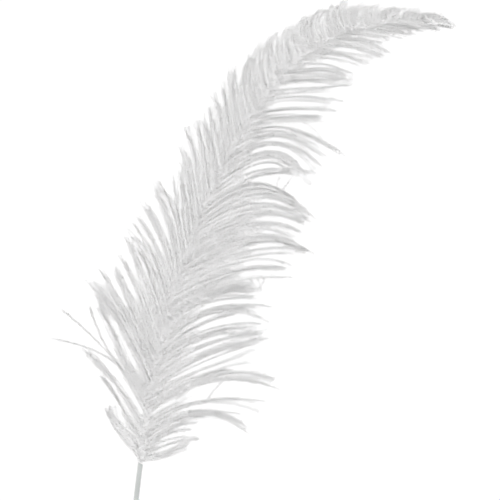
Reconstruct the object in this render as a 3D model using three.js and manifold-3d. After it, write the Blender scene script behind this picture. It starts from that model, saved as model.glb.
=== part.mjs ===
// Ostrich plume lying on its face: one curved shaft and the locks of barbs that grow from both of its sides.
// Millimetres. +Y runs from the bare quill to the top of the plume, +X towards the wide vane, +Z off the table.
// The origin is the middle of the base of the feather's own box.
import * as THREE from 'three';
import { mergeVertices } from 'three/addons/utils/BufferGeometryUtils.js';
import Module from 'manifold-3d';

// The shaft, seen from above: two cubic curves that meet in one line.
const lowerCurve = [[-94.5, -205], [-86, -129], [-74, -54], [-45, 21.5]];
const upperCurve = [[-45, 21.5], [-5, 125.5], [40.5, 209], [163, 185]];
const quillRadius = 2.1;
const shaftTipRadius = 0.6;
const quillEndLength = 9; // the stretch in which the bare end narrows to a blunt point
const quillEndRadius = 0.8;
const crownHeight = 15; // how far the middle of the shaft arches off the table
const tipHeight = 3;
const shaftSteps = 40;
const shaftSides = 8;

// A lock's own form.
const lockSteps = 5;
const rootThickness = 3.2;
const tipThickness = 1.2;
const tipWidth = 1.5;
const fullWidthUntil = 0.3; // share of the length that is as wide as the room between its neighbours
const slenderLength = 4; // a lock shorter than this many widths starts to narrow sooner
const neighbourOverlap = 1.2;
const landing = 0.8; // share of the length at which a drooping lock reaches the table
const strayWidth = 4.5;

const smallestDetail = 0.05; // edges finer than this are smoothed away where solids cross
const weldDistance = 1e-3;

// Each lock: how far up the shaft it leaves, then x and y half way along it, then x and y of its tip.
const wideVane = [
  [44, -72, -161, -52, -154], [48, -69, -149, -43, -146], [52, -68, -142, -49, -137],
  [56, -61, -135, -37, -127], [61, -44, -125, 0, -144], [65, -48, -122, -5, -134],
  [70, -42, -114, 10, -118], [82, -33, -99, 23, -106], [87, -32, -94, 19, -97],
  [96, -38, -87, 3, -75], [102, -36, -76, 14, -65], [112, -36, -69, 8, -62],
  [126, -36, -58, 8, -54], [134, -32, -43, 16, -56], [142, -28, -39, 20, -43],
  [152, -32, -34, 4, -33], [160, -31, -27, 6, -26], [166, -19, -18, 32, -18],
  [178, -13, -5, 33, -7], [189, -10, 5, 44, 4], [199, 4, 19, 52, 2],
  [215, -2, 29, 40, 19], [226, 3, 37, 45, 28], [238, 8, 53, 52, 27],
  [250, 1, 60, 38, 42], [259, 12, 70, 53, 67], [272, 15, 85, 48, 58],
  [289, 17, 92, 59, 71], [299, 20, 98, 59, 78], [309, 25, 104, 76, 83],
  [319, 22, 111, 59, 110], [332, 28, 119, 72, 117], [346, 35, 129, 74, 127],
  [356, 40, 135, 76, 138], [366, 44, 143, 82, 141], [382, 54, 156, 83, 149],
  [396, 65, 165, 96, 156], [414, 80, 174, 112, 164], [428, 86, 180, 111, 174],
  [442, 100, 182, 132, 178], [460, 115, 185, 140, 181], [478, 131, 186, 152, 181],
  [496, 148, 185, 160, 182],
];
const narrowVane = [
  [44, -107, -139, -116, -120], [57, -107, -121, -122, -93], [68, -107, -100, -137, -75],
  [91, -108, -72, -128, -30], [103, -103, -55, -136, -15], [111, -97, -49, -123, -8],
  [120, -95, -46, -112, -6], [131, -89, -37, -104, 0], [144, -86, -22, -102, 17],
  [155, -78, -10, -102, 22], [164, -76, -4, -96, 29], [180, -72, 11, -91, 46],
  [192, -65, 23, -81, 59], [201, -62, 30, -78, 65], [212, -59, 35, -63, 69],
  [227, -49, 47, -58, 78], [239, -46, 61, -57, 92], [248, -44, 73, -55, 109],
  [259, -38, 80, -48, 113], [271, -33, 86, -40, 116], [282, -29, 94, -35, 122],
  [294, -24, 106, -31, 134], [314, -16, 124, -20, 151], [332, -9, 138, -3, 160],
  [349, 0, 147, 3, 167], [366, 12, 159, 15, 177], [388, 28, 173, 32, 186],
  [406, 42, 182, 49, 196], [426, 59, 192, 68, 204], [446, 79, 195, 88, 202],
  [467, 104, 196, 112, 201], [488, 128, 195, 136, 197], [502, 141, 193, 150, 194],
];
// Loose single strands that stand away from their neighbours.
const strays = [[76, -113, -81, -163, -66], [81, -112, -75, -156, -42], [86, -108, -79, -131, -39]];

const wasm = await Module();
wasm.setup();

const vector = ([x, y]) => new THREE.Vector3(x, y, 0);
const shaftPath = new THREE.CurvePath();
shaftPath.add(new THREE.CubicBezierCurve3(...lowerCurve.map(vector)));
shaftPath.add(new THREE.CubicBezierCurve3(...upperCurve.map(vector)));
const shaftLength = shaftPath.getLength();

// Where the shaft's middle line is, at a length along it: the plan curve, lifted by half a sine wave.
function shaftPoint(along) {
  const share = Math.min(along / shaftLength, 1);
  const point = shaftPath.getPointAt(share);
  const level = THREE.MathUtils.lerp(quillRadius, tipHeight, share);
  point.z = level + crownHeight * Math.sin(Math.PI * share) ** 0.8;
  return point;
}

// A closed solid from rings of points: quads between the rings, and a flat fan over each end.
function skin(rings) {
  const sides = rings[0].length;
  const index = [];
  for (let ring = 0; ring + 1 < rings.length; ring += 1) {
    for (let side = 0; side < sides; side += 1) {
      const next = (side + 1) % sides;
      const [a, b] = [ring * sides + side, ring * sides + next];
      const [c, d] = [a + sides, b + sides];
      index.push(a, b, d, a, d, c);
    }
  }
  const last = (rings.length - 1) * sides;
  for (let side = 1; side + 1 < sides; side += 1) {
    index.push(0, side + 1, side, last, last + side, last + side + 1);
  }
  const geometry = new THREE.BufferGeometry().setFromPoints(rings.flat());
  geometry.setIndex(index);
  return geometry;
}

// The shaft's radius: a blunt point, the full quill, then an even taper to the tip.
function shaftRadius(along) {
  const taper = THREE.MathUtils.lerp(quillRadius, shaftTipRadius, (along / shaftLength) ** 1.2);
  return THREE.MathUtils.lerp(quillEndRadius, taper, Math.min(along / quillEndLength, 1) ** 0.6);
}

function makeShaft() {
  const rings = [];
  for (let step = 0; step <= shaftSteps; step += 1) {
    const along = shaftLength * (step / shaftSteps) ** 1.15;
    const [middle, radius] = [shaftPoint(along), shaftRadius(along)];
    const ahead = shaftPoint(Math.min(along + 1, shaftLength)).sub(shaftPoint(Math.min(along, shaftLength - 1)));
    const across = new THREE.Vector3(-ahead.y, ahead.x, 0).normalize();
    const up = ahead.clone().cross(across).normalize();
    rings.push(Array.from({ length: shaftSides }, (_, side) => {
      const turn = (2 * Math.PI * side) / shaftSides;
      return middle.clone().addScaledVector(across, radius * Math.cos(turn)).addScaledVector(up, radius * Math.sin(turn));
    }));
  }
  return skin(rings);
}

// A lock follows a quadratic curve through its half-way point, droops to the table and narrows to its tip.
// Its section is a low ridge over a flat underside.
function makeLock([along, midX, midY, tipX, tipY], width) {
  const root = shaftPoint(along);
  const tip = new THREE.Vector3(tipX, tipY, 0);
  const bend = new THREE.Vector3(2 * midX - (root.x + tipX) / 2, 2 * midY - (root.y + tipY) / 2, 0);
  const plan = new THREE.QuadraticBezierCurve3(new THREE.Vector3(root.x, root.y, 0), bend, tip);
  const shoulder = fullWidthUntil * Math.min(plan.getLength() / (slenderLength * width), 1) ** 2;
  const rings = [];
  for (let step = 0; step <= lockSteps; step += 1) {
    const share = step / lockSteps;
    const point = plan.getPoint(share);
    const ahead = plan.getTangent(share);
    const across = new THREE.Vector3(-ahead.y, ahead.x, 0);
    const narrowing = THREE.MathUtils.smoothstep(share, shoulder, 1.15);
    const half = THREE.MathUtils.lerp(width, tipWidth, share === 1 ? 1 : narrowing) / 2;
    const thickness = THREE.MathUtils.lerp(rootThickness, tipThickness, share);
    const fall = 1 - Math.min(share / landing, 1) ** 1.5;
    const base = Math.max(root.z - rootThickness / 2, 0) * fall;
    const place = (aside, height) => point.clone().addScaledVector(across, aside * half).setZ(base + height);
    rings.push([place(1, 0), place(0, thickness), place(-1, 0)]);
  }
  return skin(rings);
}

// How wide a lock is near the shaft: the room to its neighbours, measured square to the way it runs.
function roomFor(locks, index) {
  const before = locks[Math.max(index - 1, 0)][0];
  const after = locks[Math.min(index + 1, locks.length - 1)][0];
  const gaps = Math.min(index + 1, locks.length - 1) - Math.max(index - 1, 0);
  const [along, midX, midY] = locks[index];
  const [root, ahead] = [shaftPoint(along), shaftPath.getTangentAt(along / shaftLength)];
  const run = new THREE.Vector3(midX - root.x, midY - root.y, 0).normalize();
  return ((after - before) / gaps) * Math.abs(run.cross(ahead).z) * neighbourOverlap + 1;
}

function toSolid(geometry) {
  const merged = mergeVertices(geometry, weldDistance);
  return new wasm.Manifold(new wasm.Mesh({
    numProp: 3,
    vertProperties: Float32Array.from(merged.attributes.position.array),
    triVerts: Uint32Array.from(merged.index.array),
  }));
}

// The surface of a solid's largest body, which leaves the pinholes shut in between crossing locks filled.
function outerSurface(solid) {
  const outer = solid.decompose().sort((a, b) => b.volume() - a.volume())[0];
  const { vertProperties, triVerts, numProp } = outer.getMesh();
  const surface = new THREE.BufferGeometry();
  surface.setAttribute('position', new THREE.BufferAttribute(vertProperties, numProp));
  surface.setIndex(new THREE.BufferAttribute(triVerts, 1));
  return surface;
}

function growTogether(geometries) {
  let whole = toSolid(geometries[0]);
  for (const geometry of geometries.slice(1)) whole = whole.add(toSolid(geometry));
  return outerSurface(toSolid(outerSurface(whole.simplify(smallestDetail))));
}

const locks = [wideVane, narrowVane].flatMap((vane) => vane.map((lock, index) => makeLock(lock, roomFor(vane, index))));
const strands = strays.map((stray) => makeLock(stray, strayWidth));
const plume = growTogether([makeShaft(), ...locks, ...strands]);
plume.computeBoundingBox();
const middle = plume.boundingBox.getCenter(new THREE.Vector3());
plume.translate(-middle.x, -middle.y, -plume.boundingBox.min.z);
plume.computeVertexNormals();

const keratin = new THREE.MeshStandardMaterial({ color: 0xdcdcdb, roughness: 0.75, metalness: 0 });
const feather = new THREE.Mesh(plume, keratin);
feather.name = 'feather';
const ostrichFeather = new THREE.Group();
ostrichFeather.add(feather);

export default ostrichFeather;
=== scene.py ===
import math

import bpy
import numpy as np
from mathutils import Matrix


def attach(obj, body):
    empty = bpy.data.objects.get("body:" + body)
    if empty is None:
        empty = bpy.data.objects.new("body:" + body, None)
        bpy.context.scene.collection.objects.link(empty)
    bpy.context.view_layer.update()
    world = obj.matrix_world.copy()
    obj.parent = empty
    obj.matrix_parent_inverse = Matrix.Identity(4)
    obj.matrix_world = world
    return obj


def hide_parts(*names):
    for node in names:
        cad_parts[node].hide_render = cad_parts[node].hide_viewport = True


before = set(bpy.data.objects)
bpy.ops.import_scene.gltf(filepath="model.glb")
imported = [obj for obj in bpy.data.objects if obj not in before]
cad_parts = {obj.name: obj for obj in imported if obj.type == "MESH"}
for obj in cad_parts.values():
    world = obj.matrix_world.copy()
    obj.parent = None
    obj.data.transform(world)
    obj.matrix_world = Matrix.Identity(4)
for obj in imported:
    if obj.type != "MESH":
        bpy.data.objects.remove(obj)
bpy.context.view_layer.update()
mm = 0.001
random = np.random.default_rng(29)
print("ostrich feather: frame loaded")

# The line of the shaft, shared by everything that grows from it: seen from above it is two cubic curves
# that meet in one line, and it arches off the table by half a sine wave.
shaftLine = {
    "lowerCurve": [(-94.5, -205), (-86, -129), (-74, -54), (-45, 21.5)],
    "upperCurve": [(-45, 21.5), (-5, 125.5), (40.5, 209), (163, 185)],
    "crownHeight": 15,  # how far the middle of the shaft arches up
    "crownShape": 0.8,
    "quillRadius": 2.1,
    "tipRadius": 0.45,
    "tipHeight": 3,
}


def cubicCurve(points, share):
    # Bernstein weights (1-t)^3, 3t(1-t)^2, 3t^2(1-t), t^3 on the four points
    weights = [(1 - share) ** 3, 3 * share * (1 - share) ** 2, 3 * share**2 * (1 - share), share**3]
    return sum(weight[:, None] * np.array(point, float) for weight, point in zip(weights, points))


def layShaftLine():
    # the two curves end to end, and the distance run so far at each point
    share = np.linspace(0, 1, 1500)
    plan = np.vstack([
        cubicCurve(shaftLine["lowerCurve"], share),
        cubicCurve(shaftLine["upperCurve"], share)[1:],
    ])
    run = np.r_[0, np.cumsum(np.linalg.norm(np.diff(plan, axis=0), axis=1))]
    return plan, run


shaftPlan, shaftRun = layShaftLine()
shaftLength = shaftRun[-1]


def shaftPoint(along):
    # the plan point at that distance; height = a straight fall from quill to tip + crown x sin(pi s)^0.8
    share = np.clip(along / shaftLength, 0, 1)
    level = shaftLine["quillRadius"] * (1 - share) + shaftLine["tipHeight"] * share
    height = level + shaftLine["crownHeight"] * np.sin(np.pi * share) ** shaftLine["crownShape"]
    x = np.interp(along, shaftRun, shaftPlan[:, 0])
    y = np.interp(along, shaftRun, shaftPlan[:, 1])
    return np.stack([x, y, height], axis=-1)


def shaftRadius(along):
    # quill radius x (1-s^1.2) + tip radius x s^1.2
    share = np.clip(along / shaftLength, 0, 1) ** 1.2
    return shaftLine["quillRadius"] * (1 - share) + shaftLine["tipRadius"] * share


def unit(vectors):
    return vectors / np.maximum(np.linalg.norm(vectors, axis=-1, keepdims=True), 1e-9)


def framesAlong(points):
    # forward = the change from point to point; aside = flat, square to it, to its left; over = square to
    # both of them
    forward = unit(np.gradient(points, axis=-2))
    aside = unit(np.stack([-forward[..., 1], forward[..., 0], np.zeros(forward.shape[:-1])], axis=-1))
    return forward, aside, np.cross(forward, aside)


def makeMesh(name, points, triangles, tone, uv=None):
    # points in millimetres, triangles as corner numbers, tone one number from 0 to 1 for each point
    mesh = bpy.data.meshes.new(name)
    mesh.vertices.add(len(points))
    mesh.vertices.foreach_set("co", (points * mm).astype(np.float32).ravel())
    mesh.loops.add(triangles.size)
    mesh.loops.foreach_set("vertex_index", triangles.astype(np.int32).ravel())
    mesh.polygons.add(len(triangles))
    mesh.polygons.foreach_set("loop_start", np.arange(0, triangles.size, 3, dtype=np.int32))
    mesh.polygons.foreach_set("use_smooth", np.ones(len(triangles), bool))
    mesh.attributes.new("tone", "FLOAT", "POINT").data.foreach_set("value", tone.astype(np.float32))
    if uv is not None:
        cornerPlaces = uv[triangles.ravel()].astype(np.float32).ravel()
        mesh.uv_layers.new(name="UVMap").data.foreach_set("uv", cornerPlaces)
    mesh.update(calc_edges=True)
    mesh.validate()
    piece = bpy.data.objects.new(name, mesh)
    bpy.context.collection.objects.link(piece)
    return piece


def tubeTriangles(rings, sides, count=1):
    # quads between neighbouring rings, split in two, and a fan over each end, for count tubes in a row
    ring, side = np.meshgrid(np.arange(rings - 1), np.arange(sides), indexing="ij")
    a = ring * sides + side
    b = ring * sides + (side + 1) % sides
    body = np.stack([a, b, b + sides, a, b + sides, a + sides], axis=-1).reshape(-1, 3)
    fan = np.arange(1, sides - 1)
    start = np.stack([0 * fan, fan + 1, fan], axis=-1)
    end = np.stack([0 * fan, fan, fan + 1], axis=-1) + (rings - 1) * sides
    one = np.vstack([body, start, end])
    return (one[None] + (np.arange(count) * rings * sides)[:, None, None]).reshape(-1, 3)


def keratinMaterial(name, look):
    # Principled shader; its colour runs from root to tip by the mesh's tone and is mottled by a fine noise
    # on the barbs the run from root to tip is partly painted light: roots painted darker and tips lighter,
    # to even out the shade that falls in the dense strands
    material = bpy.data.materials.new(name)
    material.use_nodes = True
    nodes, links = material.node_tree.nodes, material.node_tree.links
    shader = nodes["Principled BSDF"]
    shader.inputs["Sheen Weight"].default_value = look["sheen"]
    shader.inputs["Sheen Roughness"].default_value = look["sheenRoughness"]
    shader.inputs["Subsurface Weight"].default_value = look["glowThrough"]
    shader.inputs["Subsurface Radius"].default_value = (1, 1, 1)
    shader.inputs["Subsurface Scale"].default_value = look["glowDepth"] * mm
    shader.inputs["Specular IOR Level"].default_value = look["specular"]
    coordinates = nodes.new("ShaderNodeTexCoord")
    mottle = nodes.new("ShaderNodeTexNoise")
    mottle.inputs["Scale"].default_value = look["mottleScale"]
    mottle.inputs["Detail"].default_value = 3
    links.new(coordinates.outputs["Object"], mottle.inputs["Vector"])
    tone = nodes.new("ShaderNodeAttribute")
    tone.attribute_name = "tone"
    # the blend from root colour to tip colour, which on the barbs is painted shade at the roots and
    # painted light at the tips
    rootToTipWithPaintedLight = nodes.new("ShaderNodeMix")
    rootToTipWithPaintedLight.data_type = "RGBA"
    rootToTipWithPaintedLight.inputs[6].default_value = (*look["rootColourAndPaintedShade"], 1)
    rootToTipWithPaintedLight.inputs[7].default_value = (*look["tipColourAndPaintedLight"], 1)
    links.new(tone.outputs["Fac"], rootToTipWithPaintedLight.inputs["Factor"])
    darker = nodes.new("ShaderNodeMix")
    darker.data_type = "RGBA"
    darker.blend_type = "MULTIPLY"
    darker.inputs["Factor"].default_value = look["mottle"]
    links.new(rootToTipWithPaintedLight.outputs[2], darker.inputs[6])
    greys = nodes.new("ShaderNodeValToRGB")
    greys.color_ramp.elements[0].position, greys.color_ramp.elements[1].position = look["mottleEdges"]
    greys.color_ramp.elements[0].color = (*look["mottleColour"], 1)
    links.new(mottle.outputs["Fac"], greys.inputs["Fac"])
    links.new(greys.outputs["Color"], darker.inputs[7])
    links.new(darker.outputs[2], shader.inputs["Base Color"])
    rough = nodes.new("ShaderNodeMapRange")
    rough.inputs["To Min"].default_value = look["roughness"][0]
    rough.inputs["To Max"].default_value = look["roughness"][1]
    links.new(mottle.outputs["Fac"], rough.inputs["Value"])
    links.new(rough.outputs["Result"], shader.inputs["Roughness"])
    grain = nodes.new("ShaderNodeTexNoise")
    grain.inputs["Scale"].default_value = look["grainScale"]
    grain.inputs["Detail"].default_value = 2
    stretch = nodes.new("ShaderNodeMapping")
    stretch.inputs["Scale"].default_value = look["grainStretch"]
    links.new(coordinates.outputs[look["grainOn"]], stretch.inputs["Vector"])
    links.new(stretch.outputs["Vector"], grain.inputs["Vector"])
    bump = nodes.new("ShaderNodeBump")
    bump.inputs["Strength"].default_value = look["bump"]
    bump.inputs["Distance"].default_value = look["bumpHeight"] * mm
    links.new(grain.outputs["Fac"], bump.inputs["Height"])
    links.new(bump.outputs["Normal"], shader.inputs["Normal"])
    return material


barbLook = {
    # the roots darker and the tips lighter is painted shade and painted light: it evens out the shade in
    # the clumped strands against the smooth middle
    "rootColourAndPaintedShade": (0.89, 0.89, 0.885),
    "tipColourAndPaintedLight": (0.95, 0.95, 0.945),
    "mottle": 0.12,
    "mottleScale": 90,
    "mottleEdges": (0.35, 0.65),
    "mottleColour": (0.72, 0.72, 0.73),
    "roughness": (0.5, 0.7),
    "glowThrough": 1.0,  # thin white keratin lets light through
    "glowDepth": 0.5,  # millimetres
    "sheen": 0.25,
    "sheenRoughness": 0.5,
    "specular": 0.35,
    "grainScale": 900,
    "grainStretch": (1, 1, 1),
    "grainOn": "Object",
    "bump": 0.25,
    "bumpHeight": 0.2,  # millimetres
}
quillLook = {
    "rootColourAndPaintedShade": (0.32, 0.335, 0.327),
    "tipColourAndPaintedLight": (0.6, 0.6, 0.595),
    "mottle": 0.3,
    "mottleScale": 60,
    "mottleEdges": (0.35, 0.65),
    "mottleColour": (0.72, 0.72, 0.73),
    "roughness": (0.3, 0.45),
    "glowThrough": 0.0,
    "glowDepth": 0.5,
    "sheen": 0.0,
    "sheenRoughness": 0.5,
    "specular": 0.5,
    "grainScale": 12,
    "grainStretch": (6, 1, 1),
    "grainOn": "UV",
    "bump": 0.35,
    "bumpHeight": 0.2,
}
barbMaterial = keratinMaterial("barbKeratin", barbLook)
quillMaterial = keratinMaterial("quillKeratin", quillLook)

shaftForm = {
    "endLength": 9,  # the stretch in which the bare quill narrows to its blunt point
    "endRadius": 0.1,
    "bluntness": 0.6,
    "rings": 260,
    "sides": 24,
    "crowding": 1.3,  # above 1 the rings lie closer together near the quill
    "vaneStart": 42,  # from here the furrow and the squared flanks come in over the next stretch
    "vaneStretch": 40,
    "groove": 0.28,  # depth of the furrow along the underside, as a share of the radius
    "grooveWidth": 0.45,  # radians
    "flatten": 0.12,
    "ripple": 0.012,
    "grainLength": 100,  # millimetres of shaft to one length of the grain
    "clearance": 0.02,
}


def makeShaft():
    # a tube on the shaft line, drawn in at the quill's end, with a furrow cut in its underside
    # and its flanks squared once the vanes begin
    form = shaftForm
    along = shaftLength * np.linspace(0, 1, form["rings"]) ** form["crowding"]
    centre = shaftPoint(along)
    _, aside, over = framesAlong(centre)
    blunt = np.clip(along / form["endLength"], 0, 1) ** form["bluntness"]
    blunt = np.sqrt(np.clip(1 - (1 - blunt) ** 2, 0, 1))
    radius = form["endRadius"] + (shaftRadius(along) - form["endRadius"]) * blunt
    turn = np.linspace(0, 2 * np.pi, form["sides"], endpoint=False)
    grown = np.clip((along - form["vaneStart"]) / form["vaneStretch"], 0, 1)[:, None]
    fromBelow = (turn + np.pi / 2 + np.pi) % (2 * np.pi) - np.pi
    downward = np.exp(-((fromBelow / form["grooveWidth"]) ** 2))[None]
    swell = radius[:, None] * (1 - form["groove"] * grown * downward)
    squared = 1 + form["flatten"] * grown * np.cos(4 * turn)[None] * -0.5
    lengthwise = 1 + form["ripple"] * np.sin(along[:, None] * 0.9 + 2 * np.sin(3 * turn)[None])
    swell = swell * squared * lengthwise
    points = (
        centre[:, None]
        + aside[:, None] * (swell * np.cos(turn))[..., None]
        + over[:, None] * (swell * np.sin(turn))[..., None]
    )
    points[..., 2] = np.maximum(points[..., 2], form["clearance"])
    tone = np.repeat(along / shaftLength, form["sides"])
    around = np.tile(turn / (2 * np.pi), form["rings"])
    uv = np.stack([around, np.repeat(along / form["grainLength"], form["sides"])], axis=-1)
    piece = makeMesh("shaft", points.reshape(-1, 3), tubeTriangles(form["rings"], form["sides"]), tone, uv)
    piece.data.materials.append(quillMaterial)
    return piece


shaft = makeShaft()
print("shaft:", len(shaft.data.polygons), "faces")

# The locks that the barbs gather in: how far up the shaft each leaves, then x and y half way along it,
# then x and y of its tip, all in millimetres.
wideVane = [
    (44, -72, -161, -52, -154), (48, -69, -151, -43, -147), (52, -68, -142, -49, -137),
    (56, -61, -135, -37, -127), (61, -44, -125, 0, -144), (65, -48, -124, -5, -134),
    (70, -42, -115, 10, -118), (82, -33, -100, 23, -106), (87, -32, -95, 19, -97),
    (96, -38, -89, 4, -74), (102, -36, -78, 14, -65), (112, -36, -70, 8, -62),
    (126, -36, -59, 8, -55), (134, -32, -44, 16, -55), (142, -28, -40, 20, -43),
    (152, -32, -35, 4, -33), (160, -31, -28, 6, -26), (166, -19, -20, 32, -18),
    (178, -13, -10, 31, -11), (189, -10, 3, 44, 4), (199, 4, 15, 52, 2),
    (215, -2, 26, 40, 19), (226, 3, 36, 45, 27), (238, 8, 51, 52, 26),
    (250, 1, 59, 38, 42), (259, 12, 68, 53, 66), (272, 15, 83, 48, 57),
    (289, 17, 92, 59, 70), (299, 20, 97, 59, 78), (309, 25, 103, 76, 81),
    (319, 22, 109, 59, 109), (332, 28, 118, 72, 117), (346, 35, 128, 74, 126),
    (356, 40, 135, 76, 138), (366, 44, 142, 82, 141), (382, 54, 154, 83, 148),
    (396, 65, 164, 96, 156), (414, 80, 173, 112, 164), (428, 86, 179, 111, 174),
    (442, 100, 182, 132, 180), (460, 115, 185, 140, 182), (478, 131, 186, 152, 183),
    (496, 148, 186, 160, 184),
]
narrowVane = [
    (44, -108, -140, -117, -119), (57, -105, -120, -122, -93), (68, -109, -101, -138, -75),
    (91, -106, -72, -126, -30), (103, -103, -55, -136, -15), (111, -97, -49, -123, -8),
    (120, -95, -46, -112, -6), (131, -89, -37, -104, 0), (144, -86, -22, -102, 17),
    (155, -78, -10, -102, 22), (164, -76, -4, -96, 29), (180, -72, 11, -91, 46),
    (192, -65, 23, -81, 59), (201, -62, 30, -78, 65), (212, -59, 35, -63, 69),
    (227, -49, 47, -58, 78), (239, -46, 61, -57, 92), (248, -44, 73, -55, 109),
    (259, -38, 80, -48, 113), (271, -33, 86, -40, 116), (282, -29, 94, -35, 122),
    (294, -24, 106, -31, 134), (314, -16, 124, -20, 151), (332, -9, 138, -3, 160),
    (349, 0, 147, 3, 167), (366, 12, 159, 15, 177), (388, 28, 173, 32, 186),
    (406, 42, 182, 49, 196), (426, 59, 192, 68, 204), (446, 79, 195, 88, 202),
    (467, 104, 196, 112, 201), (488, 128, 195, 136, 197), (502, 141, 193, 150, 194),
]
# slighter strands between the locks, in the same terms
finerWide = [
    (45, -71, -158, -52, -152), (46, -68, -155, -50, -150), (50, -68, -147, -43, -145),
    (54, -64, -138, -42, -132), (59, -58, -130, -33, -124), (63, -46, -124, -4, -139),
    (67, -46, -123, -8, -128), (69, -46, -117, -10, -116), (72, -40, -117, 7, -123),
    (84, -34, -100, 8, -100), (86, -33, -97, 12, -95), (88, -32, -99, 18, -100),
    (90, -40, -96, -14, -92), (92, -38, -93, 4, -84), (100, -37, -83, 3, -71),
    (104, -38, -80, 8, -68), (106, -34, -76, 11, -65), (108, -35, -74, 16, -59),
    (115, -35, -68, 9, -61), (118, -37, -65, -3, -62), (122, -37, -63, 0, -59),
    (124, -37, -61, 4, -57), (129, -46, -57, -13, -45), (131, -44, -55, -11, -44),
    (136, -31, -43, 4, -47), (138, -34, -43, -4, -41), (140, -30, -42, 6, -44),
    (155, -31, -33, 2, -31), (157, -31, -30, -4, -28), (158, -30, -31, 3, -29),
    (161, -29, -28, -5, -26), (163, -26, -26, 2, -23), (172, -17, -14, 28, -11),
    (175, -16, -12, 20, -9), (181, -10, -4, 34, -8), (184, -12, -1, 36, 1),
    (193, -1, 10, 36, 6), (195, 1, 12, 40, 2), (197, 2, 15, 46, 3),
    (201, 4, 17, 44, 4), (208, -4, 22, 36, 16), (212, -3, 24, 39, 18),
    (220, 2, 32, 40, 26), (223, 3, 34, 43, 27), (229, 4, 39, 40, 30),
    (232, 4, 43, 44, 30), (235, 6, 47, 48, 28), (237, 6, 50, 44, 30),
    (241, 4, 53, 43, 34), (244, 3, 55, 40, 37), (247, 2, 57, 36, 43),
    (253, -5, 63, 16, 66), (256, 3, 64, 38, 66), (262, 4, 70, 33, 68),
    (266, 4, 75, 29, 71), (268, 8, 79, 33, 69), (270, 13, 80, 44, 60),
    (282, 18, 90, 52, 68), (286, 17, 91, 55, 72), (296, 19, 96, 48, 81),
    (303, 20, 99, 56, 88), (306, 20, 101, 67, 86), (312, 24, 103, 70, 84),
    (323, 20, 111, 56, 110), (326, 22, 112, 55, 112), (329, 26, 114, 58, 114),
    (334, 28, 119, 62, 118), (340, 30, 125, 64, 123), (351, 36, 132, 66, 133),
    (363, 47, 140, 82, 139), (369, 50, 144, 80, 142), (371, 48, 147, 76, 145),
    (373, 46, 149, 73, 146), (376, 50, 151, 74, 148), (390, 59, 159, 88, 152),
    (393, 62, 162, 92, 155), (399, 68, 165, 98, 158), (403, 71, 168, 104, 160),
    (407, 74, 169, 106, 162), (411, 78, 170, 108, 163), (417, 82, 174, 108, 168),
    (421, 84, 176, 104, 171), (436, 96, 181, 123, 177), (450, 106, 184, 122, 180),
    (469, 120, 186, 134, 183), (502, 150, 187, 158, 185), (507, 153, 188, 158, 187),
]
finerNarrow = [
    (46, -106, -138, -116, -121), (48, -105, -137, -116, -123), (51, -104, -136, -115, -120),
    (55, -104, -122, -118, -101), (59, -106, -117, -121, -96), (63, -105, -106, -128, -83),
    (65, -108, -104, -126, -86), (67, -109, -101, -132, -80), (70, -110, -98, -134, -77),
    (89, -108, -74, -127, -37), (90, -105, -74, -124, -40), (98, -102, -60, -121, -39),
    (100, -103, -57, -125, -35), (102, -103, -55, -130, -28), (105, -102, -53, -131, -17),
    (107, -101, -52, -129, -22), (108, -100, -51, -125, -18), (109, -99, -52, -121, -14),
    (126, -91, -42, -111, -9), (138, -87, -33, -107, 4), (146, -84, -23, -99, 13),
    (149, -80, -22, -94, 10), (151, -79, -20, -93, 8), (160, -76, -8, -94, 18),
    (172, -74, 2, -92, 35), (186, -68, 11, -85, 41), (190, -65, 17, -76, 52),
    (206, -60, 33, -72, 56), (219, -55, 40, -58, 71), (223, -52, 43, -56, 68),
    (233, -48, 54, -60, 86), (244, -45, 67, -55, 103), (254, -40, 78, -44, 110),
    (277, -31, 89, -38, 119), (299, -23, 110, -29, 126), (304, -20, 113, -27, 137),
    (309, -19, 116, -24, 143), (319, -15, 127, -16, 153), (325, -12, 130, -13, 154),
    (337, -7, 138, 0, 160), (342, -4, 138, -8, 153), (346, -2, 143, -4, 164),
    (357, 6, 154, 8, 174), (362, 9, 157, 12, 172), (373, 16, 162, 19, 182),
    (380, 20, 166, 23, 179), (384, 24, 169, 28, 185), (393, 31, 175, 36, 190),
    (398, 35, 178, 41, 194), (402, 39, 180, 45, 194), (412, 46, 185, 53, 198),
    (417, 49, 187, 58, 199), (421, 54, 190, 63, 202), (431, 64, 194, 73, 205),
    (436, 69, 195, 78, 205), (441, 74, 195, 83, 202), (452, 84, 196, 93, 202),
    (457, 91, 197, 99, 203), (462, 97, 196, 105, 202), (473, 110, 196, 118, 201),
    (479, 116, 196, 124, 200), (484, 122, 195, 130, 198), (490, 132, 195, 152, 194),
    (495, 132, 194, 143, 195), (497, 138, 194, 158, 193), (499, 138, 193, 155, 192),
    (503, 144, 193, 161, 191), (506, 147, 191, 161, 190), (511, 152, 189, 164, 187),
]
strayStrands = [(78, -111, -84, -163, -66), (81, -113, -79, -156, -42), (86, -116, -75, -131, -39)]

# short loose strands that lie across their neighbours: x and y of the start, middle and end
crossStrands = [
    (-24, -100, -31, -107, -36, -114), (-48, -103, -55, -110, -61, -114),
    (33, 66, 27, 58, 24, 54), (22, 65, 20, 61, 20, 57), (40, 108, 49, 103, 56, 95),
    (-3, -17, 1, -22, 5, -27), (6, -16, 9, -20, 4, -26), (3, -17, 6, -22, 7, -28),
]

# where a vane parts in a slit: how far up the shaft, the share of the barbs' length at which it opens,
# and half its width in millimetres of shaft
wideSlits = [(77, 0.04, 1.4), (98, 0.2, 2.0), (110, 0.3, 0.8), (147, 0.28, 1.0)]
narrowSlits = [
    (53, 0.35, 1.2), (61, 0.3, 1.2), (74, 0.08, 2.0), (95, 0.26, 1.6),
    (115, 0.4, 1.0), (176, 0.4, 1.2), (328, 0.4, 1.2), (369.5, 0.4, 0.8),
]

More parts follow.
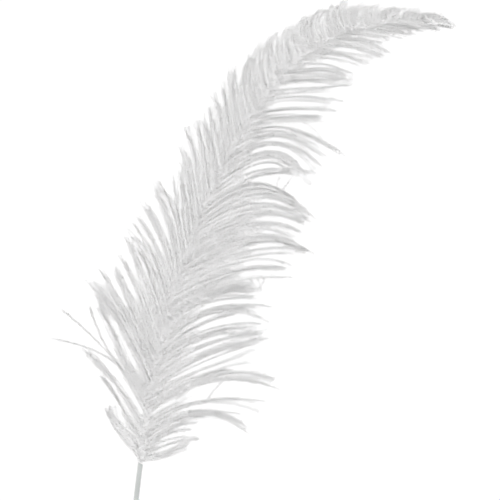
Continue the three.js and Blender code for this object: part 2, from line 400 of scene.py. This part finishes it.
vaneForm = {
    "strandSpread": 5.5,  # millimetres of shaft that the barbs of one strand start from
    "barbsInStrand": 12,
    "barbsInFiner": 9,
    "barbsInStray": 9,
    "looseReach": (0.5, 0.97),  # how far a loose barb goes, as a share
    "looseLift": 0.8,
    "barbsAcross": 5,
    "acrossScatter": 0.6,
    "acrossHeight": (1.4, 1.2),  # of the ends, and how much more half way
    "acrossPlace": 200,  # the length along the shaft whose stretch the strands across belong to
    "strayScatter": 0.4,
    "strayRoom": 1.5,
    "samples": 10,
    # how far a filled-in strand closes on its neighbour, and how far it strays, half way and at its tip
    "strandPull": (0.4, 0.4, 0.85, 0.85),
    "strandScatter": (0.8, 0.8, 1.8, 1.8),
    "strandWave": 1.3,
    "barbWave": 0.35,
    "coreSpacing": 0.6,  # millimetres of shaft for each short barb of the dense middle
    "coreSamples": 8,
    "coreShortest": 0.55,
    "coreScatter": 1.5,
    "coreLayer": 0.5,
    "slitDepth": 0.04,  # how far past a slit's opening the short barbs in it reach, as a share
    "coreOverShaft": 1.6,  # how far past the shaft's far side the short barbs start
    "landing": 0.8,  # share of its length at which a barb reaches the table
    "layer": 2.6,  # depth of the loose layer that the strands make up
    "tipLayer": 0.35,  # share of that depth that is left at the tips
    "tipHeight": 0.15,
    "strandLayer": (0.7, 0.3),  # how much of it a whole strand takes up, and how much each of its barbs
    "rootSink": 1.2,  # how far under the middle of the shaft a strand leaves it
    "clearance": 0.05,
    "apexClearance": 0.12,
}

# a barb's stem and the barbules along it, root and tip in brackets: the barbs of a strand are hairs whose
# barbules lie close, those of the dense middle are flat ribbons whose barbules stand out further
strandBarb = {
    "width": (0.48, 0.38),
    "thickness": (0.48, 0.38),
    "downSpacing": 1.4,
    "downLength": (2.8, 2.3),
    "downWidth": 0.38,
    "downAngle": (20, 40),
    "downRoll": 0.25,
}
coreBarb = {
    "width": (1.5, 0.35),
    "thickness": (0.35, 0.25),
    "downSpacing": 1.3,
    "downLength": (3.4, 3.0),
    "downWidth": 0.5,
    "downAngle": (28, 58),
    "downRoll": 0.2,
}


def strandGuides(locks, finer, strays, slits, habit):
    # all listed strands in order up the shaft, and more in each wide room between two of them that has no
    # slit: a weighted mean of the two drawn towards the nearer, a little shorter; the last column is the
    # number of barbs
    form = vaneForm
    listed = [(*row, form["barbsInStrand"]) for row in locks]
    listed += [(*row, form["barbsInFiner"]) for row in finer]
    table = np.array(sorted(listed), float)
    room = np.diff(table[:, 0])
    between = np.maximum(np.round(room / habit["strandSpacing"]).astype(int) - 1, 0)
    slitPlace = np.array(slits)[:, 0]
    parted = ((table[:-1, :1] < slitPlace) & (slitPlace < table[1:, :1])).any(axis=1)
    between[parted] = 0
    first = np.repeat(np.arange(len(room)), between)
    order = np.arange(len(first)) - np.repeat(np.cumsum(between) - between, between)
    weight = ((order + 1 + random.uniform(-0.2, 0.2, len(first))) / (between[first] + 1))[:, None]
    filled = table[first] * (1 - weight) + table[first + 1] * weight
    nearest = np.where(weight < 0.5, table[first], table[first + 1])
    filled[:, 1:5] += (nearest - filled)[:, 1:5] * form["strandPull"]
    filled[:, 1:5] += random.normal(0, 1, (len(filled), 4)) * form["strandScatter"]
    filled[:, 5] = form["barbsInFiner"]
    loose = np.array([(*row, form["barbsInStray"]) for row in strays], float).reshape(-1, 6)
    shorter = random.uniform(*habit["strandReach"], len(filled))
    reach = np.r_[np.ones(len(table)), shorter, np.ones(len(loose))]
    others = len(table) + len(filled)
    apart = np.r_[np.full(others, form["strandSpread"]), np.full(len(loose), form["strayRoom"])]
    scatter = np.r_[np.ones(others), np.full(len(loose), form["strayScatter"])]
    return np.vstack([table, filled, loose]), reach, apart, scatter


def guideCurve(guide, share):
    # quadratic curve from the shaft through the half-way point to the tip; returns plan points and root
    root = shaftPoint(guide[:, 0])
    bend = 2 * guide[:, 1:3] - (root[:, :2] + guide[:, 3:5]) / 2
    t = share[..., None]
    plan = (1 - t) ** 2 * root[:, None, :2] + 2 * t * (1 - t) * bend[:, None] + t**2 * guide[:, None, 3:5]
    return plan, root


def lieDown(plan, share, rootHeight, layer):
    # height falls from the root as 1 - (t / landing)^1.5, with each barb a little above or below the next
    fall = 1 - np.clip(share / vaneForm["landing"], 0, 1) ** 1.5
    low, lift = vaneForm["tipLayer"], vaneForm["tipHeight"]
    height = rootHeight[:, None] * fall + layer[:, None] * (low + (1 - low) * (1 - share)) + lift
    return np.concatenate([plan, height[..., None]], axis=-1)


def nearestSlit(roots, slits):
    # how far each root lies from the slit nearest to it, where that slit opens and how wide it is
    slits = np.array(slits)
    away = roots[:, None] - slits[None, :, 0]
    nearest = np.abs(away).argmin(axis=1)
    return away[np.arange(len(roots)), nearest], slits[nearest, 1], slits[nearest, 2]


def clearOf(roots, slits):
    # roots within two half widths of a slit close up to the half of that room further from it
    away, _, halfWidth = nearestSlit(roots, slits)
    moved = np.sign(away) * (halfWidth - np.abs(away) / 2)
    return np.where(np.abs(away) < 2 * halfWidth, roots + moved, roots)


def growStrands(locks, finer, strays, slits, habit):
    # the barbs of a strand start side by side on the shaft and close up as (1-t)^gather to the strand's
    # width; a slow wave moves the whole strand and a small one each barb
    form = vaneForm
    guides, reach, apart, scatter = strandGuides(locks, finer, strays, slits, habit)
    strand = np.repeat(np.arange(len(guides)), guides[:, 5].astype(int))
    roots = clearOf(guides[strand, 0] + random.uniform(-0.5, 0.5, len(strand)) * apart[strand], slits)
    cutShort = (1 - habit["shortest"]) * random.random(len(strand)) ** 2 * scatter[strand]
    barbReach = reach[strand] * (1 - cutShort)
    share = np.linspace(0, 1, form["samples"])[None] * barbReach[:, None]
    plan, guideRoot = guideCurve(guides[strand], share)
    root = shaftPoint(roots)
    plan = plan + (root - guideRoot)[:, None, :2] * ((1 - share) ** habit["gather"])[..., None]
    aim = random.normal(0, habit["tipScatter"], (len(strand), 1, 2)) * scatter[strand][:, None, None]
    plan = plan + aim * share[..., None] ** 2
    phase, pace = random.uniform(0, 6.28, (2, len(guides), 1))
    ownPhase, ownPace = random.uniform(0, 6.28, (2, len(strand), 1))
    side = random.uniform(-0.5, 0.5, (len(strand), 1))
    wave = form["strandWave"] * share**1.4 * np.sin(phase[strand] + (2 + pace[strand]) * share)
    width = habit["strandWidth"] * guides[strand, 5:6] / form["barbsInStrand"]
    wave = wave + width * side * (1 - (1 - share) ** habit["gather"])
    wave = wave + form["barbWave"] * share * np.sin(ownPhase + (5 + ownPace) * share)
    whole, own = form["strandLayer"]
    layer = random.random(len(guides))[strand] * whole + random.random(len(strand)) * own
    points = lieDown(plan, share, np.maximum(root[:, 2] - form["rootSink"], 0.4), form["layer"] * layer)
    _, aside, _ = framesAlong(points)
    return points + aside * wave[..., None], share, roots


def growCore(locks, slits, habit):
    # short barbs that start past the middle of the shaft, cross over it and fill the roots of the vane;
    # those in a slit end where it opens
    form = vaneForm
    table = np.array(locks, float)
    count = int((table[-1, 0] + 12 - table[0, 0]) / form["coreSpacing"])
    roots = np.sort(random.uniform(table[0, 0] - 2, table[-1, 0] + 10, count))
    guide = np.stack([np.interp(roots, table[:, 0], column) for column in table.T], axis=1)
    guide[:, 0] = roots
    furthest = np.interp(roots, *np.array(habit["coreReach"]).T)
    away, opens, halfWidth = nearestSlit(roots, slits)
    inSlit = np.abs(away) < 1.5 * halfWidth
    furthest = np.where(inSlit, np.minimum(furthest, opens + form["slitDepth"]), furthest)
    length = furthest * random.uniform(form["coreShortest"], 1, count)
    share = np.linspace(0, 1, form["coreSamples"])[None] * length[:, None]
    plan, root = guideCurve(guide, share)
    outward = unit(plan[:, -1] - root[:, :2])
    start = shaftRadius(roots) + random.uniform(0, form["coreOverShaft"], count)
    plan = plan - outward[:, None] * start[:, None, None] * (1 - share[..., None] / share.max()) ** 2
    plan = plan + random.normal(0, form["coreScatter"], (count, 1, 2)) * share[..., None]
    lift = shaftRadius(roots) + random.uniform(0.1, 0.5, count)
    points = lieDown(plan, share, root[:, 2] + lift, random.random(count) * form["coreLayer"])
    return points, share, roots


def growLoose(locks, slits, habit):
    # single barbs that keep to no strand: the curve between the two nearest locks, its middle and tip
    # moved aside
    form = vaneForm
    table = np.array(locks, float)
    roots = np.sort(random.uniform(table[0, 0], table[-1, 0] + 8, habit["loose"]))
    away, _, halfWidth = nearestSlit(roots, slits)
    roots = roots[np.abs(away) > 2.5 * halfWidth]
    guide = np.stack([np.interp(roots, table[:, 0], column) for column in table.T], axis=1)
    guide[:, 0] = roots
    guide[:, 1:5] += np.clip(random.normal(0, 1, (len(roots), 4)), -2, 2) * habit["looseScatter"]
    reach = random.uniform(*form["looseReach"], (len(roots), 1))
    share = np.linspace(0, 1, form["samples"])[None] * reach
    plan, root = guideCurve(guide, share)
    layer = random.random(len(roots)) * form["layer"] + form["looseLift"]
    points = lieDown(plan, share, root[:, 2] + form["looseLift"], layer)
    return points, share, roots


def growAcross(rows):
    # loose strands across the others: quadratic curves through their middle points, a few barbs each
    form = vaneForm
    table = np.repeat(np.array(rows, float).reshape(-1, 6), form["barbsAcross"], axis=0)
    table += random.normal(0, form["acrossScatter"], table.shape)
    t = np.linspace(0, 1, form["samples"])[None, :, None] * np.ones((len(table), 1, 1))
    bend = 2 * table[:, None, 2:4] - (table[:, None, :2] + table[:, None, 4:]) / 2
    plan = (1 - t) ** 2 * table[:, None, :2] + 2 * t * (1 - t) * bend + t**2 * table[:, None, 4:]
    ends, rise = form["acrossHeight"]
    height = ends + rise * np.sin(np.pi * t)
    places = np.full(len(table), float(form["acrossPlace"]))
    return np.concatenate([plan, height], axis=-1), 0.5 + 0.5 * t[..., 0], places


def barbStems(points, share, barb):
    # three-sided tapered tubes: width = root x (1-t) + tip x t, and thickness likewise
    _, aside, over = framesAlong(points)
    across, upward = [
        (barb[side][0] * (1 - share) + barb[side][1] * share)[..., None, None] / 2
        for side in ("width", "thickness")
    ]
    turn = np.array([np.pi / 2, 7 * np.pi / 6, 11 * np.pi / 6])
    sideways = aside[:, :, None] * across * np.cos(turn)[:, None]
    rings = points[:, :, None] + (sideways + over[:, :, None] * upward * np.sin(turn)[:, None])
    rings[..., 2] = np.maximum(rings[..., 2], vaneForm["clearance"])
    # the share along the barb, which the material turns into painted shade at the root and painted light
    # at the tip
    tone = np.repeat(share[..., None] ** 0.5, 3, axis=-1)
    return rings.reshape(-1, 3), tubeTriangles(points.shape[1], 3, len(points)), tone.ravel()


def barbules(points, share, barbKind):
    # thin closed spikes on both flanks of a barb, leaning forward: direction = forward cos a + aside sin a
    forward, aside, over = framesAlong(points)
    lengths = np.linalg.norm(np.diff(points, axis=1), axis=-1).sum(axis=1)
    counts = np.maximum((lengths / barbKind["downSpacing"]).astype(int), 4)
    barb = np.repeat(np.arange(len(points)), counts)
    order = np.arange(len(barb)) - np.repeat(np.cumsum(counts) - counts, counts)
    place = (order + random.random(len(barb))) / counts[barb] * (points.shape[1] - 1.001)
    low = place.astype(int)
    part = (place - low)[:, None]
    base, ahead, flank, lift, tone = [
        grid[barb, low] * (1 - part) + grid[barb, low + 1] * part
        for grid in (points, forward, aside, over, share[..., None])
    ]
    tone = tone[:, 0]
    sign = np.where(order % 2 == 0, 1, -1)[:, None]
    angle = np.radians(random.uniform(*barbKind["downAngle"], len(barb)))[:, None]
    roll = random.normal(0, barbKind["downRoll"], len(barb))[:, None]
    rootLength, tipLength = barbKind["downLength"]
    reach = (rootLength * (1 - tone) + tipLength * tone) * random.uniform(0.6, 1.15, len(barb))
    lean = ahead * np.cos(angle) + (flank * sign * np.cos(roll) + lift * np.sin(roll)) * np.sin(angle)
    apex = base + lean * reach[:, None]
    apex[:, 2] = np.maximum(apex[:, 2], vaneForm["apexClearance"])
    width = barbKind["downWidth"]
    first = base + ahead * width
    second = base - ahead * width * 0.6 + lift * width
    third = base - ahead * width * 0.6 - lift * width
    inward = (np.cross(second - first, third - first) * (apex - first)).sum(axis=1) > 0
    second, third = np.where(inward[:, None], third, second), np.where(inward[:, None], second, third)
    corners = np.stack([first, second, third, apex], axis=1)
    corners[..., 2] = np.maximum(corners[..., 2], vaneForm["clearance"])
    faces = np.array([[0, 1, 2], [0, 3, 1], [1, 3, 2], [2, 3, 0]])
    triangles = (faces[None] + 4 * np.arange(len(barb))[:, None, None]).reshape(-1, 3)
    # the same share drives the painted shade at the roots and the painted light at the tips
    return corners.reshape(-1, 3), triangles, np.repeat(tone**0.5, 4)


def makeVane(name, locks, finer, strays, across, slits, habit):
    # one piece for each stretch of the shaft, so that none grows too heavy
    grown = [
        (*growStrands(locks, finer, strays, slits, habit), strandBarb),
        (*growCore(locks, slits, habit), coreBarb),
        (*growLoose(locks, slits, habit), strandBarb),
        (*growAcross(across), strandBarb),
    ]
    pieces = []
    for stretch, (start, end) in stretches.items():
        corners, triangles, tones, count = [], [], [], 0
        for points, share, roots, barb in grown:
            chosen = (roots >= start) & (roots < end)
            for makePart in (barbStems, barbules):
                partCorners, partTriangles, tone = makePart(points[chosen], share[chosen], barb)
                corners.append(partCorners)
                triangles.append(partTriangles + count)
                tones.append(tone)
                count += len(partCorners)
        points, faces, tone = np.vstack(corners), np.vstack(triangles), np.concatenate(tones)
        piece = makeMesh(f"{name}_{stretch}", points, faces, tone)
        piece.data.materials.append(barbMaterial)
        pieces.append(piece)
        print(piece.name, ":", len(piece.data.polygons), "faces")
    return pieces


stretches = {"base": (0, 130), "lower": (130, 215), "upper": (215, 320), "tip": (320, 600)}
# how each vane grows: its dense middle ends at a share of the barbs' length, which coreReach gives at
# lengths along the shaft
closeHabit = {
    "coreReach": [
        (44, 0.5), (90, 0.42), (115, 0.4), (150, 0.47), (165, 0.6), (245, 0.6),
        (262, 0.36), (290, 0.3), (366, 0.3), (385, 0.5), (510, 0.5),
    ],
    "strandSpacing": 6.0,  # millimetres of shaft for each strand of barbs
    "strandReach": (0.7, 0.95),  # how far the strands between the listed ones go, as a share
    "tipScatter": 1.2,
    "shortest": 0.88,
    "gather": 3.0,  # how soon the barbs of a strand close up
    "strandWidth": 2.0,
    "loose": 60,
    "looseScatter": (1, 1, 2.5, 2.5),
}
raggedHabit = {
    "coreReach": [(44, 0.6), (240, 0.6), (255, 0.8), (300, 0.8), (330, 0.65), (510, 0.7)],
    "strandSpacing": 4.0,
    "strandReach": (0.75, 1.0),
    "tipScatter": 1.7,
    "shortest": 0.85,
    "gather": 2.0,
    "strandWidth": 1.8,
    "loose": 330,
    "looseScatter": (1.8, 1.8, 5, 5),
}
wideVanePieces = makeVane("wide_vane", wideVane, finerWide, [], crossStrands, wideSlits, closeHabit)
narrowVanePieces = makeVane(
    "narrow_vane", narrowVane, finerNarrow, strayStrands, [], narrowSlits, raggedHabit,
)

for piece in [shaft, *wideVanePieces, *narrowVanePieces]:
    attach(piece, "root")
    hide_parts("feather")
print("feather dressed")

studio = {
    "floorSize": 6,  # metres, as are the other lengths here unless noted
    "floorColour": (0.05, 0.05, 0.05),
    "floorRoughness": 0.9,
    "floorGlow": 1.0,  # the floor is a lit white table
    "worldStrength": 1.62,
    "keyPower": 10,
    "keySize": 1.4,
    "keyPlace": (-0.9, 0.9, 1.6),
    "cameraHeight": 1.6,
    "cameraOver": 0.008,  # the camera's height is counted from the middle of the arch
    "sensorWidth": 36,  # millimetres, as are the next two
    "viewCentre": (-2, 5.6),
    "viewWidth": 400,
    "bounces": 16,  # light passes on many times within pale down
    "diffuseBounces": 12,
    "softness": 2.2,  # pixels that one point of the render spreads over
}


def makeStudio():
    floorMesh = bpy.data.meshes.new("floor")
    half = studio["floorSize"] / 2
    corners = [(-half, -half, 0), (half, -half, 0), (half, half, 0), (-half, half, 0)]
    floorMesh.from_pydata(corners, [], [(0, 1, 2, 3)])
    floor = bpy.data.objects.new("floor", floorMesh)
    bpy.context.collection.objects.link(floor)
    paper = bpy.data.materials.new("paper")
    paper.use_nodes = True
    shader = paper.node_tree.nodes["Principled BSDF"]
    shader.inputs["Base Color"].default_value = (*studio["floorColour"], 1)
    shader.inputs["Roughness"].default_value = studio["floorRoughness"]
    shader.inputs["Emission Color"].default_value = (1, 1, 1, 1)
    shader.inputs["Emission Strength"].default_value = studio["floorGlow"]
    floorMesh.materials.append(paper)
    world = bpy.data.worlds.new("softRoom")
    world.use_nodes = True
    world.node_tree.nodes["Background"].inputs["Color"].default_value = (1, 1, 1, 1)
    world.node_tree.nodes["Background"].inputs["Strength"].default_value = studio["worldStrength"]
    bpy.context.scene.world = world
    key = bpy.data.lights.new("key", "AREA")
    key.energy = studio["keyPower"]
    key.size = studio["keySize"]
    keyObject = bpy.data.objects.new("key", key)
    keyObject.location = studio["keyPlace"]
    aim = -np.array(studio["keyPlace"])
    keyObject.rotation_euler = (
        math.atan2(math.hypot(aim[0], aim[1]), -aim[2]), 0, math.atan2(aim[1], aim[0]) - math.pi / 2,
    )
    bpy.context.collection.objects.link(keyObject)
    camera = bpy.data.cameras.new("camera")
    camera.sensor_width = studio["sensorWidth"]
    camera.lens = camera.sensor_width * studio["cameraHeight"] / (studio["viewWidth"] * mm)
    cameraObject = bpy.data.objects.new("camera", camera)
    across, along = [value * mm for value in studio["viewCentre"]]
    cameraObject.location = (across, along, studio["cameraHeight"] + studio["cameraOver"])
    bpy.context.collection.objects.link(cameraObject)
    bpy.context.scene.camera = cameraObject
    bpy.context.scene.view_settings.view_transform = "Standard"
    cycles = bpy.context.scene.cycles
    cycles.max_bounces = studio["bounces"]
    cycles.diffuse_bounces = studio["diffuseBounces"]
    cycles.denoising_input_passes = "RGB_ALBEDO"  # the barbs' normals are too fine to guide it
    cycles.filter_width = studio["softness"]


makeStudio()
print("studio ready")
